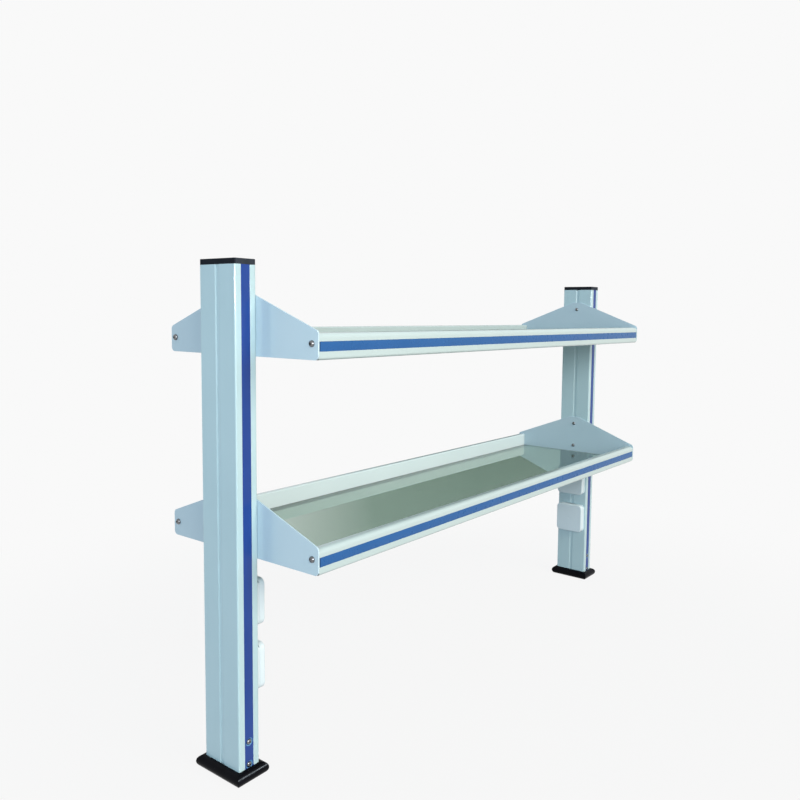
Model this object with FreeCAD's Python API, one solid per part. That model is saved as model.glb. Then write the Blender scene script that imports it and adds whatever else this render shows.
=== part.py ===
"""Two-tier laboratory reagent shelf rack with glass shelves and socket outlets.

Millimetres. X runs along the shelves, Y is the depth (front at -Y), Z is up. The origin is on the
floor, midway between the two columns. The rack is the same after half a turn about Z, so each piece
of the right-hand column and each rear rail is the left-hand or front one turned through 180 degrees.
The foot screws, the rails' end screws and the outlets' fixing screws are left off.
"""
import FreeCAD, Part

import math
import os

Vec = FreeCAD.Vector
os.makedirs("parts", exist_ok=True)

# ---- Rack ----
rack_width = 1400.0             # over the outer faces of the two columns
shelf_depth = 400.0             # over the front and rear ends of the brackets
lower_shelf_height = 400.0      # floor to the underside of the lower brackets
upper_shelf_height = 760.0      # floor to the underside of the upper brackets
fit_gap = 0.1                   # play between two rigid pieces that slide together

# ---- Column: extruded aluminium ----
column_width = 45.0             # along X
column_depth = 96.0             # along Y
column_length = 914.0
column_wall = 2.0
column_corner = 3.0
groove_width = 11.0             # shallow groove down the middle of both wide faces
groove_floor_width = 6.0
groove_depth = 1.8
tapped_wall = 5.0               # thicker wall behind the groove, tapped for the column bolts

# ---- Column strip: plastic, slid into the channel of a narrow face ----
strip_face_width = 19.0         # width that shows
strip_flange_width = 22.0       # width behind the lips of the channel
strip_face_thickness = 1.2
strip_flange_thickness = 1.2
strip_crown = 0.5               # rise of the rounded face from its edges to its middle

# ---- Top cap ----
cap_height = 10.0
cap_plug_depth = 16.0
cap_plug_wall = 2.0

# ---- Foot shoe ----
shoe_height = 23.0              # its edge is a half round of this height
shoe_lip = 1.0                  # flat top round the column
shoe_floor = 4.0
shoe_window_width = 34.0        # open floor under the foot anchor
shoe_window_depth = 80.0

# ---- Foot anchor: bent steel U inside the foot of the column ----
anchor_base_thickness = 8.0
anchor_upright_width = 23.0
anchor_upright_thickness = 6.0
anchor_height = 84.0
bench_bolt_pitch = 56.0         # two tapped holes for bench bolts from below
bench_bolt_hole_radius = 4.25   # tapping size of M10
cable_slot_size = 20.0          # square opening for the supply cable of the outlets

# ---- Column bolts: M5 pan heads ----
bolt_radius = 2.5
bolt_hole_radius = 2.6          # clearance hole in the bracket
bolt_head_radius = 5.0
bolt_head_height = 3.2
bolt_length = 12.0
bolt_height = 27.0              # lower column bolt, above the underside of the bracket
bolt_pitch = 70.0

# ---- Bracket plate ----
bracket_thickness = 3.0
bracket_end_height = 48.0
bracket_apex_height = 118.0
bracket_apex_width = 30.0
bracket_end_corner = 8.0
bracket_apex_corner = 10.0

# ---- Rail: extruded aluminium, outer face towards the room ----
rail_height = 45.0
rail_thickness = 20.0
rail_wall = 1.8
rail_setback = 0.5              # outer face behind the end of the bracket
rail_top_radius = 9.0
rail_bottom_radius = 5.0
rail_inner_radius = 3.0
ledge_width = 14.0              # carries the edge of the glass
ledge_thickness = 2.5

# ---- Rail strip ----
rail_strip_face_width = 16.6
rail_strip_flange_width = 19.4
rail_strip_height = 22.5        # middle of the strip above the underside of the rail
rail_strip_end_gap = 3.0

# ---- Glass and its seats ----
seat_width = 11.0
seat_thickness = 1.2
seat_end_gap = 6.0
glass_thickness = 6.0
glass_side_gap = 1.5            # to the rails
glass_end_gap = 1.3             # to the heads of the column bolts
glass_lift_gap = 0.1            # loose glass above its seats
glass_edge = 0.8

# ---- Socket outlets, two on the inner face of each column ----
upper_outlet_height = 316.0
lower_outlet_height = 196.0
outlet_size = 86.0
outlet_corner = 12.0
frame_depth = 7.0
frame_window = 52.0             # square window that holds the socket insert
lid_depth = 13.0
lid_wall = 2.0
lid_seam = 0.3                  # between the shut lid and the frame
hinge_drop = 3.4                # hinge axis below the top of the outlet
hinge_bar_radius = 2.0
hinge_bar_length = 70.0
hinge_clearance = 0.3           # round what turns inside the frame
hook_place = 24.0               # hooks to both sides of the middle
hook_width = 8.0
hook_arm = 1.2
hook_reach = 2.65               # in front of the hinge axis
insert_depth = 11.0
insert_flange_lip = 2.5
insert_flange_thickness = 1.9
insert_setback = 0.5            # face of the insert behind the face of the frame
slot_width = 2.2
slot_length = 7.0
slot_depth = 7.0
flat_slot_place = 5.0           # two upright slots, to both sides of the middle
flat_slot_rise = 13.0
earth_slot_drop = 3.0
splayed_slot_place = 8.0        # two splayed slots under the earth slot
splayed_slot_drop = 13.0
splayed_slot_angle = 30.0
box_width = 70.0                # back box inside the column
box_height = 60.0
box_depth = 28.0
box_wall = 1.6

# ---- Derived places ----
half_width = column_width / 2
half_depth = column_depth / 2
column_x = rack_width / 2 - half_width
inner_face_x = column_x - half_width        # inner face of the right-hand column
column_foot = shoe_floor
column_top = column_foot + column_length
channel_depth = strip_face_thickness + strip_flange_thickness + fit_gap
void_width = column_width - 2 * column_wall
void_depth = column_depth - 2 * column_wall
channel_back = half_depth - channel_depth - column_wall
tapped_back = half_width - groove_depth - tapped_wall
rail_end_x = inner_face_x - bracket_thickness
rail_inner_y = shelf_depth / 2 - rail_setback - rail_thickness
shelf_heights = {"lower": lower_shelf_height, "upper": upper_shelf_height}
outlet_heights = {"lower": lower_outlet_height, "upper": upper_outlet_height}


# ---- Geometry helpers ----
def plan(u, v):
    """Point of a plan section, drawn in XY."""
    return Vec(u, v, 0)


def end_view(u, v):
    """Point of an end view, drawn in YZ."""
    return Vec(0, u, v)


def front_view(u, v):
    """Point of a front view, drawn in XZ."""
    return Vec(u, 0, v)


def outlined(corners, place):
    """Face inside a closed outline whose corners are (u, v, radius)."""
    bends = []
    edges = []
    for index, (u, v, radius) in enumerate(corners):
        corner = place(u, v)
        before = (place(*corners[index - 1][:2]) - corner).normalize()
        after = (place(*corners[(index + 1) % len(corners)][:2]) - corner).normalize()
        half_angle = before.getAngle(after) / 2
        reach = radius / math.tan(half_angle)
        start = corner + before * reach
        end = corner + after * reach
        bends.append((start, end))
        if radius > 0:
            inward = (before + after).normalize()
            middle = corner + inward * (radius / math.sin(half_angle) - radius)
            edges.append(Part.Arc(start, middle, end).toShape())
    for index, (start, _) in enumerate(bends):
        previous_end = bends[index - 1][1]
        if not previous_end.isEqual(start, 1e-6):
            edges.append(Part.makeLine(previous_end, start))
    return Part.Face(Part.Wire(Part.__sortEdges__(edges)))


def rectangle(width, height, radius=0.0, u=0.0, v=0.0):
    """Corners of a rectangle centred on (u, v)."""
    a = width / 2
    b = height / 2
    return [
        (u - a, v - b, radius),
        (u + a, v - b, radius),
        (u + a, v + b, radius),
        (u - a, v + b, radius),
    ]


def flat_cornered(corners):
    """The same outline with each round right-angled corner as one flat that touches the round."""
    points = []
    for index, (u, v, radius) in enumerate(corners):
        if radius == 0:
            points.append((u, v, 0.0))
            continue
        corner = Vec(u, v, 0)
        reach = (2 - math.sqrt(2)) * radius
        neighbours = (corners[index - 1], corners[(index + 1) % len(corners)])
        for other_u, other_v, _ in neighbours:
            point = corner + (Vec(other_u, other_v, 0) - corner).normalize() * reach
            points.append((point.x, point.y, 0.0))
    return points


def block(low, high):
    """Box between two opposite corners."""
    return Part.makeBox(high[0] - low[0], high[1] - low[1], high[2] - low[2], Vec(*low))


def rod(radius, length, start, direction):
    """Cylinder from a start point."""
    return Part.makeCylinder(radius, length, Vec(*start), Vec(*direction))


def half_turn(shape):
    """The same piece on the other side of the rack."""
    turned = shape.copy()
    turned.rotate(Vec(0, 0, 0), Vec(0, 0, 1), 180)
    return turned


def moved(shape, x=0.0, y=0.0, z=0.0):
    """Copy of a shape at another place."""
    copy = shape.copy()
    copy.translate(Vec(x, y, z))
    return copy


def write(node, shape):
    """One STEP file for each sub-part."""
    shape.exportStep("parts/" + node + ".step")


def write_pair(first, second, shape):
    """A piece and its half-turned twin."""
    write(first, shape)
    write(second, half_turn(shape))


# ---- Column, in its own frame: axis on Z, foot at Z = 0 ----
def column_void(gap):
    """Section of the hollow of the column, smaller all round by a gap."""
    face = outlined(rectangle(void_width - 2 * gap, void_depth - 2 * gap), plan)
    channel_cover = strip_flange_width + 2 * (column_wall + gap)
    tapped_cover = groove_width + 2 * (column_wall + gap)
    for side in (-1, 1):
        depth = half_depth - channel_back + gap
        middle = side * (half_depth - depth / 2)
        face = face.cut(outlined(rectangle(channel_cover, depth, 0.0, 0.0, middle), plan))
        depth = half_width - tapped_back + gap
        middle = side * (half_width - depth / 2)
        face = face.cut(outlined(rectangle(depth, tapped_cover, 0.0, middle, 0.0), plan))
    return face


def column_section():
    """Closed section of the column extrusion."""
    face = outlined(rectangle(column_width, column_depth, column_corner), plan)
    pocket_depth = strip_flange_thickness + fit_gap
    for side in (-1, 1):
        floor_u = side * (half_width - groove_depth)
        groove = [
            (side * half_width, -groove_width / 2, 0.0),
            (side * half_width, groove_width / 2, 0.0),
            (floor_u, groove_floor_width / 2, 0.0),
            (floor_u, -groove_floor_width / 2, 0.0),
        ]
        face = face.cut(outlined(groove, plan))
        mouth = rectangle(strip_face_width, 2 * strip_face_thickness, 0.0, 0.0, side * half_depth)
        face = face.cut(outlined(mouth, plan))
        middle = side * (half_depth - strip_face_thickness - pocket_depth / 2)
        face = face.cut(outlined(rectangle(strip_flange_width, pocket_depth, 0.0, 0.0, middle), plan))
    return face.cut(column_void(0.0))


def bolt_heights(shelf_height):
    """Heights of the two column bolts of one bracket."""
    return [shelf_height + bolt_height, shelf_height + bolt_height + bolt_pitch]


def left_column():
    """Column with its tapped bolt holes and the windows of the back boxes."""
    solid = moved(column_section().extrude(Vec(0, 0, column_length)), x=-column_x, z=column_foot)
    face_wall = groove_depth + tapped_wall
    for shelf_height in shelf_heights.values():
        for height in bolt_heights(shelf_height):
            start = (-inner_face_x, 0, height)
            solid = solid.cut(rod(bolt_radius + fit_gap / 2, face_wall, start, (-1, 0, 0)))
    window = outlined(rectangle(box_width + 2 * fit_gap, box_height + 2 * fit_gap), end_view)
    window = window.extrude(Vec(-face_wall, 0, 0))
    for height in outlet_heights.values():
        solid = solid.cut(moved(window, x=-inner_face_x, z=height))
    return solid


def strip_section(face_width, flange_width):
    """Section of a T-shaped strip; its crowned face looks to -Y and tops out at Y = 0."""
    half_face = face_width / 2 - fit_gap
    half_flange = flange_width / 2 - fit_gap
    shoulder = strip_face_thickness + fit_gap / 2
    back = shoulder + strip_flange_thickness
    points = [
        Vec(half_face, strip_crown, 0),
        Vec(half_face, shoulder, 0),
        Vec(half_flange, shoulder, 0),
        Vec(half_flange, back, 0),
        Vec(-half_flange, back, 0),
        Vec(-half_flange, shoulder, 0),
        Vec(-half_face, shoulder, 0),
        Vec(-half_face, strip_crown, 0),
    ]
    edges = [Part.Arc(points[-1], Vec(0, 0, 0), points[0]).toShape()]
    for start, end in zip(points, points[1:]):
        edges.append(Part.makeLine(start, end))
    return Part.Face(Part.Wire(edges))


def left_front_column_strip():
    """Strip in the front channel of the left-hand column."""
    strip = strip_section(strip_face_width, strip_flange_width).extrude(Vec(0, 0, column_length))
    return moved(strip, x=-column_x, y=-half_depth, z=column_foot)


def right_front_column_strip():
    """The same strip in the front channel of the right-hand column."""
    return moved(left_front_column_strip(), x=2 * column_x)


def left_cap():
    """Top cap: a slab flush with the column and a hollow plug that fits its bore."""
    slab = outlined(rectangle(column_width, column_depth, column_corner), plan)
    plug = column_void(fit_gap).cut(column_void(fit_gap + cap_plug_wall))
    cap = slab.extrude(Vec(0, 0, cap_height)).fuse(plug.extrude(Vec(0, 0, -cap_plug_depth)))
    return moved(cap, x=-column_x, z=column_top)


def left_shoe():
    """Foot shoe: half-round edge, mitred corners, pocket for the column, open floor."""
    edge_radius = shoe_height / 2
    width = column_width + 2 * (shoe_lip + edge_radius)
    depth = column_depth + 2 * (shoe_lip + edge_radius)
    # A hair under the full half round, so that a short flat stays at mid height.
    round_radius = edge_radius - 1e-3
    across = outlined(rectangle(width, shoe_height, round_radius, 0.0, edge_radius), front_view)
    along = outlined(rectangle(depth, shoe_height, round_radius, 0.0, edge_radius), end_view)
    across = moved(across.extrude(Vec(0, depth, 0)), y=-depth / 2)
    along = moved(along.extrude(Vec(width, 0, 0)), x=-width / 2)
    outline = rectangle(column_width + 2 * fit_gap, column_depth + 2 * fit_gap, column_corner)
    pocket = outlined(flat_cornered(outline), plan).extrude(Vec(0, 0, shoe_height))
    window = outlined(rectangle(shoe_window_width, shoe_window_depth), plan)
    window = window.extrude(Vec(0, 0, shoe_floor))
    solid = across.common(along).cut(moved(pocket, z=shoe_floor)).cut(window)
    return moved(solid, x=-column_x)


def left_foot_anchor():
    """Foot anchor: base plate on the shoe's floor and two uprights against the channels."""
    reach = channel_back - fit_gap
    half_base = tapped_back - fit_gap
    half_upright = anchor_upright_width / 2
    half_slot = cable_slot_size / 2
    solid = block((-half_base, -reach, 0), (half_base, reach, anchor_base_thickness))
    inner = reach - anchor_upright_thickness
    upright = block((-half_upright, inner, 0), (half_upright, reach, anchor_height))
    solid = solid.multiFuse([upright, half_turn(upright)]).removeSplitter()
    solid = solid.cut(block((-half_slot, -half_slot, 0), (half_slot, half_slot, anchor_base_thickness)))
    for side in (-1, 1):
        start = (0, side * bench_bolt_pitch / 2, 0)
        solid = solid.cut(rod(bench_bolt_hole_radius, anchor_base_thickness, start, (0, 0, 1)))
    return moved(solid, x=-column_x, z=column_foot)


write_pair("left_column", "right_column", left_column())
write_pair("left_front_strip", "right_rear_strip", left_front_column_strip())
write_pair("right_front_strip", "left_rear_strip", right_front_column_strip())
write_pair("left_top_cap", "right_top_cap", left_cap())
write_pair("left_foot_shoe", "right_foot_shoe", left_shoe())
write_pair("left_foot_anchor", "right_foot_anchor", left_foot_anchor())


# ---- Brackets and column bolts ----
def left_bracket(shelf_height):
    """Splayed plate against the inner face of the left-hand column."""
    end = shelf_depth / 2
    apex = bracket_apex_width / 2
    corners = [
        (-end, 0.0, bracket_end_corner),
        (end, 0.0, bracket_end_corner),
        (end, bracket_end_height, bracket_end_corner),
        (apex, bracket_apex_height, bracket_apex_corner),
        (-apex, bracket_apex_height, bracket_apex_corner),
        (-end, bracket_end_height, bracket_end_corner),
    ]
    plate = moved(outlined(corners, end_view).extrude(Vec(bracket_thickness, 0, 0)), z=shelf_height)
    for height in bolt_heights(shelf_height):
        plate = plate.cut(rod(bolt_hole_radius, bracket_thickness, (0, 0, height), (1, 0, 0)))
    return moved(plate, x=-inner_face_x)


def bracket_bolts(shelf_height):
    """Two bolts from the inner side of each bracket of a shelf into its column."""
    bolts = []
    for height in bolt_heights(shelf_height):
        seat = (-inner_face_x + bracket_thickness, 0, height)
        head = rod(bolt_head_radius, bolt_head_height, seat, (1, 0, 0))
        shank = rod(bolt_radius, bolt_length, seat, (-1, 0, 0))
        bolts.append(head.fuse(shank))
    return Part.makeCompound(bolts + [half_turn(bolt) for bolt in bolts])


for tier, tier_height in shelf_heights.items():
    write_pair(tier + "_left_bracket", tier + "_right_bracket", left_bracket(tier_height))
    write(tier + "_bracket_bolts", bracket_bolts(tier_height))


# ---- Rails: section in its own frame, outer face at Y = 0, underside at Z = 0 ----
def rail_section():
    """Hollow guard rail with a strip channel and a glass ledge."""
    ledge_end = rail_thickness + ledge_width
    outline = [
        (0.0, 0.0, rail_bottom_radius),
        (ledge_end, 0.0, 0.0),
        (ledge_end, ledge_thickness, 0.0),
        (rail_thickness, ledge_thickness, 0.0),
        (rail_thickness, rail_height, rail_inner_radius),
        (0.0, rail_height, rail_top_radius),
    ]
    far = rail_thickness - rail_wall
    top = rail_height - rail_wall
    hollow = [
        (rail_wall, rail_wall, rail_bottom_radius - rail_wall),
        (far, rail_wall, 0.0),
        (far, top, rail_inner_radius - rail_wall),
        (rail_wall, top, rail_top_radius - rail_wall),
    ]
    cover_depth = channel_depth + rail_wall
    cover_height = rail_strip_flange_width + 2 * rail_wall
    cover = rectangle(cover_depth, cover_height, 0.0, cover_depth / 2, rail_strip_height)
    hollow = outlined(flat_cornered(hollow), end_view).cut(outlined(cover, end_view))
    mouth = rectangle(2 * strip_face_thickness, rail_strip_face_width, 0.0, 0.0, rail_strip_height)
    pocket_depth = strip_flange_thickness + fit_gap
    pocket_middle = strip_face_thickness + pocket_depth / 2
    pocket = rectangle(pocket_depth, rail_strip_flange_width, 0.0, pocket_middle, rail_strip_height)
    section = outlined(outline, end_view).cut(hollow)
    return section.cut(outlined(mouth, end_view)).cut(outlined(pocket, end_view))


def front_rail(shelf_height):
    """Front rail between the faces of the two brackets."""
    rail = rail_section().extrude(Vec(2 * rail_end_x, 0, 0))
    return moved(rail, x=-rail_end_x, y=-shelf_depth / 2 + rail_setback, z=shelf_height)


def front_rail_strip(shelf_height):
    """Crowned strip in the outer face of the front rail."""
    length = 2 * (rail_end_x - rail_strip_end_gap)
    strip = strip_section(rail_strip_face_width, rail_strip_flange_width).extrude(Vec(0, 0, length))
    strip.rotate(Vec(0, 0, 0), Vec(0, 1, 0), 90)
    y = -shelf_depth / 2 + rail_setback
    return moved(strip, x=-length / 2, y=y, z=shelf_height + rail_strip_height)


def glass_seats(shelf_height):
    """Soft strips on the ledges of the front and rear rail."""
    half_length = rail_end_x - seat_end_gap
    outer = rail_inner_y - glass_side_gap
    bottom = shelf_height + ledge_thickness
    seat = block((-half_length, outer - seat_width, bottom), (half_length, outer, bottom + seat_thickness))
    return Part.makeCompound([seat, half_turn(seat)])


def glass_pane(shelf_height):
    """Toughened glass shelf with ground edges, loose on its seats, clear of the bolt heads."""
    half_length = rail_end_x - bolt_head_height - glass_end_gap
    half_glass = rail_inner_y - glass_side_gap
    bottom = shelf_height + ledge_thickness + seat_thickness + glass_lift_gap
    pane = block((-half_length, -half_glass, bottom), (half_length, half_glass, bottom + glass_thickness))
    long_edges = [edge for edge in pane.Edges if edge.Length > glass_thickness + 1e-6]
    return pane.makeChamfer(glass_edge, long_edges)


for tier, tier_height in shelf_heights.items():
    write_pair(tier + "_front_rail", tier + "_rear_rail", front_rail(tier_height))
    write_pair(tier + "_front_rail_strip", tier + "_rear_rail_strip", front_rail_strip(tier_height))
    write(tier + "_glass_seats", glass_seats(tier_height))
    write(tier + "_glass_pane", glass_pane(tier_height))


# ---- Outlets: own frame, X = 0 on the column face, opening to +X, centred on Y = 0, Z = 0 ----
half_outlet = outlet_size / 2
hinge_x = frame_depth + lid_seam / 2
hinge_z = half_outlet - hinge_drop
insert_size = frame_window - 2 * fit_gap
insert_flange_size = insert_size + 2 * insert_flange_lip


def outlet_frame():
    """Frame on the column face, with two hooks for the hinge bar in a rebate along its top."""
    solid = outlined(rectangle(outlet_size, outlet_size, outlet_corner), end_view)
    solid = solid.extrude(Vec(frame_depth, 0, 0))
    rebate_x = hinge_x - hinge_drop - hinge_clearance
    rebate_z = hinge_z - hinge_bar_radius - hinge_clearance
    rebate = block((rebate_x, -half_outlet, rebate_z), (frame_depth, half_outlet, half_outlet))
    solid = solid.cut(rebate)
    bearing = hinge_bar_radius + fit_gap
    hook_top = hinge_z + bearing + hook_arm
    hook_bottom = hinge_z - bearing - hook_arm
    hook_front = hinge_x + hook_reach
    for side in (-1, 1):
        near = side * hook_place - hook_width / 2
        far = side * hook_place + hook_width / 2
        hook = block((0, near, hook_bottom), (hook_front, far, hook_top))
        mouth = block((hinge_x - bearing, near, hinge_z - bearing), (hook_front, far, hinge_z + bearing))
        solid = solid.fuse(hook.cut(mouth))
        solid = solid.cut(mouth)
    window = outlined(rectangle(frame_window, frame_window), end_view).extrude(Vec(frame_depth, 0, 0))
    recess_size = insert_flange_size + 2 * fit_gap
    recess = outlined(rectangle(recess_size, recess_size), end_view)
    recess = recess.extrude(Vec(insert_flange_thickness + fit_gap, 0, 0))
    return solid.cut(window).cut(recess).removeSplitter()


def outlet_lid():
    """Hinged lid: a shell that shuts over the frame, with its hinge bar moulded on."""
    back = frame_depth + lid_seam
    front = frame_depth + lid_depth
    shell = outlined(rectangle(outlet_size, outlet_size, outlet_corner), end_view)
    shell = moved(shell.extrude(Vec(front - back, 0, 0)), x=back)
    inner_size = outlet_size - 2 * lid_wall
    inner = flat_cornered(rectangle(inner_size, inner_size, outlet_corner - lid_wall))
    hollow = moved(outlined(inner, end_view).extrude(Vec(front - lid_wall - back, 0, 0)), x=back)
    shell = shell.cut(hollow)
    # The notch round each hook clears the hook's corners through the whole swing of the lid.
    hook_corner = math.hypot(hook_reach, hinge_bar_radius + fit_gap + hook_arm)
    notch_front = hinge_x + hook_corner + hinge_clearance
    for side in (-1, 1):
        near = side * hook_place - hook_width / 2 - hinge_clearance
        far = side * hook_place + hook_width / 2 + hinge_clearance
        notch = block((back, near, half_outlet - 2 * lid_wall), (notch_front, far, half_outlet))
        shell = shell.cut(notch)
    start = (hinge_x, -hinge_bar_length / 2, hinge_z)
    return shell.fuse(rod(hinge_bar_radius, hinge_bar_length, start, (0, 1, 0))).removeSplitter()


def outlet_insert():
    """Socket insert with two straight slots above three splayed ones."""
    body_back = frame_depth - insert_depth
    face_x = frame_depth - insert_setback
    body = outlined(rectangle(insert_size, insert_size), end_view).extrude(Vec(face_x - body_back, 0, 0))
    flange = outlined(rectangle(insert_flange_size, insert_flange_size), end_view)
    flange = flange.extrude(Vec(insert_flange_thickness, 0, 0))
    solid = moved(body, x=body_back).fuse(flange)
    slots = [
        (-flat_slot_place, flat_slot_rise, 0.0),
        (flat_slot_place, flat_slot_rise, 0.0),
        (0.0, -earth_slot_drop, 0.0),
        (-splayed_slot_place, -splayed_slot_drop, splayed_slot_angle),
        (splayed_slot_place, -splayed_slot_drop, -splayed_slot_angle),
    ]
    for y, z, tilt in slots:
        slot = outlined(rectangle(slot_width, slot_length), end_view).extrude(Vec(slot_depth, 0, 0))
        slot.rotate(Vec(0, 0, 0), Vec(1, 0, 0), tilt)
        solid = solid.cut(moved(slot, x=face_x - slot_depth, y=y, z=z))
    return solid.removeSplitter()


def outlet_box():
    """Back box in the window of the column, open to the front."""
    outer = outlined(rectangle(box_width, box_height), end_view).extrude(Vec(box_depth, 0, 0))
    inner = outlined(rectangle(box_width - 2 * box_wall, box_height - 2 * box_wall), end_view)
    inner = inner.extrude(Vec(box_depth - box_wall, 0, 0))
    return moved(outer.cut(moved(inner, x=box_wall)), x=-box_depth)


outlet_pieces = {
    "frame": outlet_frame(),
    "lid": outlet_lid(),
    "insert": outlet_insert(),
    "box": outlet_box(),
}
for tier, outlet_height in outlet_heights.items():
    for piece, shape in outlet_pieces.items():
        name = tier + "_outlet_" + piece
        write_pair("left_" + name, "right_" + name, moved(shape, x=-inner_face_x, z=outlet_height))
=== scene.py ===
"""Reagent shelf rack with glass shelves and socket outlets: its pieces and their finishes."""
import math

import bmesh
import bpy
from mathutils import Matrix, Vector


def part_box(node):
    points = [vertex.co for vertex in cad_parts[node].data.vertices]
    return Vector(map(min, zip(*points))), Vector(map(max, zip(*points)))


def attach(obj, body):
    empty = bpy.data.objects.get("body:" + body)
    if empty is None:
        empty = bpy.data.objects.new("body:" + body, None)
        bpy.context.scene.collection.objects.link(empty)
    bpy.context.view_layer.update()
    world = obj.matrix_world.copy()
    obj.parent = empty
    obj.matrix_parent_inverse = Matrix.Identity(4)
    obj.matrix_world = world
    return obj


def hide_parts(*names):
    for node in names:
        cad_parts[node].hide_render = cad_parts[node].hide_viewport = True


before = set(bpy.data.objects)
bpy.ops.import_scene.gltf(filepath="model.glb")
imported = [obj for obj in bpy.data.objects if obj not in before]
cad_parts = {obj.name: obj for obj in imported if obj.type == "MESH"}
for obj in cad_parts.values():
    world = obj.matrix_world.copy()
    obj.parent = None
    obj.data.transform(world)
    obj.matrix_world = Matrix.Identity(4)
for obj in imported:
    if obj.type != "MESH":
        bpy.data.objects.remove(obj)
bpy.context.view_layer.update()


# ---- Foot shoes ----
# Each column stands in a moulded black rubber shoe: a half-round edge with mitred corners, a pocket
# for the column and a floor that is open under the steel foot. The column is pushed in and held by
# friction.
MM = 0.001
RACK = "rack"
SIDES = {"left": -1, "right": 1}

shoe_lip = 1 * MM
shoe_floor = 4 * MM
shoe_fit = 0.1 * MM
shoe_window = (17 * MM, 40 * MM)
shoe_mitre_radius = 0.5 * MM
shoe_edge_steps = 16
column_corner = 3 * MM
crisp_bend = math.radians(32)
noise_span = (0.3, 0.7)


def rounded(corners, steps=6):
    """Points of a closed outline whose corners are (u, v, radius), each bend as an arc."""
    points = []
    for index, (u, v, radius) in enumerate(corners):
        corner = Vector((u, v))
        before = (Vector(corners[index - 1][:2]) - corner).normalized()
        after = (Vector(corners[(index + 1) % len(corners)][:2]) - corner).normalized()
        if radius == 0:
            points.append(corner)
            continue
        half = before.angle(after) / 2
        centre = corner + (before + after).normalized() * radius / math.sin(half)
        start = corner + before * radius / math.tan(half) - centre
        sweep = start.angle_signed(corner + after * radius / math.tan(half) - centre)
        for step in range(steps + 1):
            points.append(centre + Matrix.Rotation(-sweep * step / steps, 2) @ start)
    return points


def rectangle(half_u, half_v, radius=0.0):
    """Corners of a rectangle about the origin."""
    return [(-half_u, -half_v, radius), (half_u, -half_v, radius),
            (half_u, half_v, radius), (-half_u, half_v, radius)]


def loft(bm, rings, ends="capped"):
    """Skin over closed rings of 3-D points; its ends are capped, joined together or open."""
    rows = [[bm.verts.new(point) for point in ring] for ring in rings]
    pairs = list(zip(rows, rows[1:]))
    if ends == "joined":
        pairs.append((rows[-1], rows[0]))
    for row, following in pairs:
        for index in range(len(row)):
            before = index - 1
            bm.faces.new((row[before], row[index], following[index], following[before]))
    if ends == "capped":
        bm.faces.new(rows[0])
        bm.faces.new(rows[-1])


def fit_piece(name, bm, finish, replaced=(), body=RACK):
    """Mesh object with smooth bends and crisp edges, finished, and riding on its body."""
    bmesh.ops.recalc_face_normals(bm, faces=bm.faces)
    mesh = bpy.data.meshes.new(name)
    bm.to_mesh(mesh)
    bm.free()
    mesh.shade_smooth()
    mesh.set_sharp_from_angle(angle=crisp_bend)
    mesh.materials.append(finish)
    piece = bpy.data.objects.new(name, mesh)
    bpy.context.scene.collection.objects.link(piece)
    flats = piece.modifiers.new("flat_faces", "WEIGHTED_NORMAL")
    flats.keep_sharp = True
    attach(piece, body)
    if replaced:
        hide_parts(*replaced)
    return piece


def new_finish(name, **sockets):
    """Material with fixed shader values; returns it with its nodes, its links and its shader."""
    finish = bpy.data.materials.new(name)
    finish.use_nodes = True
    tree = finish.node_tree
    shader = tree.nodes["Principled BSDF"]
    for socket, value in sockets.items():
        shader.inputs[socket.replace("_", " ")].default_value = value
    return finish, tree, shader


def noise(tree, size, detail=3.0, stretch=(1, 1, 1)):
    """Noise whose blobs are about `size` metres wide, drawn out along an axis by `stretch`."""
    place = tree.nodes.new("ShaderNodeTexCoord")
    mapping = tree.nodes.new("ShaderNodeMapping")
    mapping.inputs["Scale"].default_value = [1 / length for length in stretch]
    texture = tree.nodes.new("ShaderNodeTexNoise")
    texture.inputs["Scale"].default_value = 1 / size
    texture.inputs["Detail"].default_value = detail
    tree.links.new(place.outputs["Object"], mapping.inputs["Vector"])
    tree.links.new(mapping.outputs["Vector"], texture.inputs["Vector"])
    return texture.outputs["Fac"]


def vary_colour(tree, shader, pattern, low, high):
    """Base colour that drifts between two tones with a pattern."""
    ramp = tree.nodes.new("ShaderNodeValToRGB")
    for stop, position, tone in zip(ramp.color_ramp.elements, noise_span, (low, high)):
        stop.position = position
        stop.color = (*tone, 1)
    tree.links.new(pattern, ramp.inputs["Fac"])
    tree.links.new(ramp.outputs["Color"], shader.inputs["Base Color"])


def vary_roughness(tree, shader, pattern, low, high):
    """Roughness that drifts between two values with a pattern."""
    spread = tree.nodes.new("ShaderNodeMapRange")
    limits = {"From Min": noise_span[0], "From Max": noise_span[1], "To Min": low, "To Max": high}
    for socket, value in limits.items():
        spread.inputs[socket].default_value = value
    tree.links.new(pattern, spread.inputs["Value"])
    tree.links.new(spread.outputs["Result"], shader.inputs["Roughness"])


def raise_grain(tree, shader, pattern, depth, strength=1.0):
    """Surface grain of a given depth."""
    bump = tree.nodes.new("ShaderNodeBump")
    bump.inputs["Distance"].default_value = depth
    bump.inputs["Strength"].default_value = strength
    tree.links.new(pattern, bump.inputs["Height"])
    tree.links.new(bump.outputs["Normal"], shader.inputs["Normal"])


def black_moulding(name, low, high, gloss, sheen):
    """Black moulded rubber or plastic: spark-eroded grain, faint grey patches, uneven sheen."""
    finish, tree, shader = new_finish(name, Specular_IOR_Level=sheen)
    vary_colour(tree, shader, noise(tree, 40 * MM), low, high)
    vary_roughness(tree, shader, noise(tree, 12 * MM), gloss, gloss + 0.14)
    raise_grain(tree, shader, noise(tree, 0.9 * MM, 2.0), 0.05 * MM, 0.5)
    return finish


shoe_rubber = black_moulding(
    "shoe_rubber", (0.002, 0.002, 0.003), (0.004, 0.004, 0.006), 0.16, 0.05)

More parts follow.
